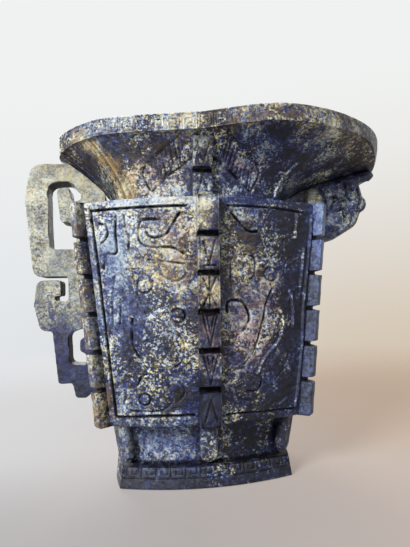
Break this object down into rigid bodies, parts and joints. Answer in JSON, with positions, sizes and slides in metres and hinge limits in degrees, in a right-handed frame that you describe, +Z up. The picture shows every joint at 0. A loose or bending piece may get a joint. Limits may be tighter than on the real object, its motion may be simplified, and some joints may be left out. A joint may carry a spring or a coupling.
{
  "type": "pouring vase",
  "caption": "Carved lapis lazuli pouring vase in archaic bronze form: bow-fronted body on a block foot, flared spouted mouth, notched flanges, pierced scroll handle and beast head.",
  "frame": {"origin": "middle of the flat base of the foot", "axes": "+Z up from the base; +X towards the spout and the beast head, -X towards the scroll handle; -Y is the front"},
  "size_m": [0.1656, 0.087, 0.1494],
  "materials": {
    "lapis_blue": "polished, with grain and wear",
    "lapis_flange": "polished, with cut lines",
    "lapis_grey": "polished, grey and cream",
    "lapis_dark": "polished, dark",
    "pin_brass": "plain"
  },
  "bodies": {
    "root": {"body": "lapis_blue", "neck": "lapis_blue", "foot": "lapis_blue", "flange_front": "lapis_flange", "flange_back": "lapis_flange", "flange_front_left": "lapis_flange", "flange_front_right": "lapis_flange", "flange_back_right": "lapis_flange", "flange_back_left": "lapis_flange", "neck_flange_front": "lapis_flange", "neck_flange_back": "lapis_flange", "foot_tongue_front": "lapis_flange", "foot_tongue_back": "lapis_flange", "foot_tongue_front_left": "lapis_flange", "foot_tongue_front_right": "lapis_flange", "foot_tongue_back_right": "lapis_flange", "foot_tongue_back_left": "lapis_flange", "scroll_handle": "lapis_grey", "beast_head": "lapis_dark", "handle_pin_low": "pin_brass", "handle_pin_high": "pin_brass", "handle_pin_top": "pin_brass", "head_pin": "pin_brass"}
  },
  "joints": []
}
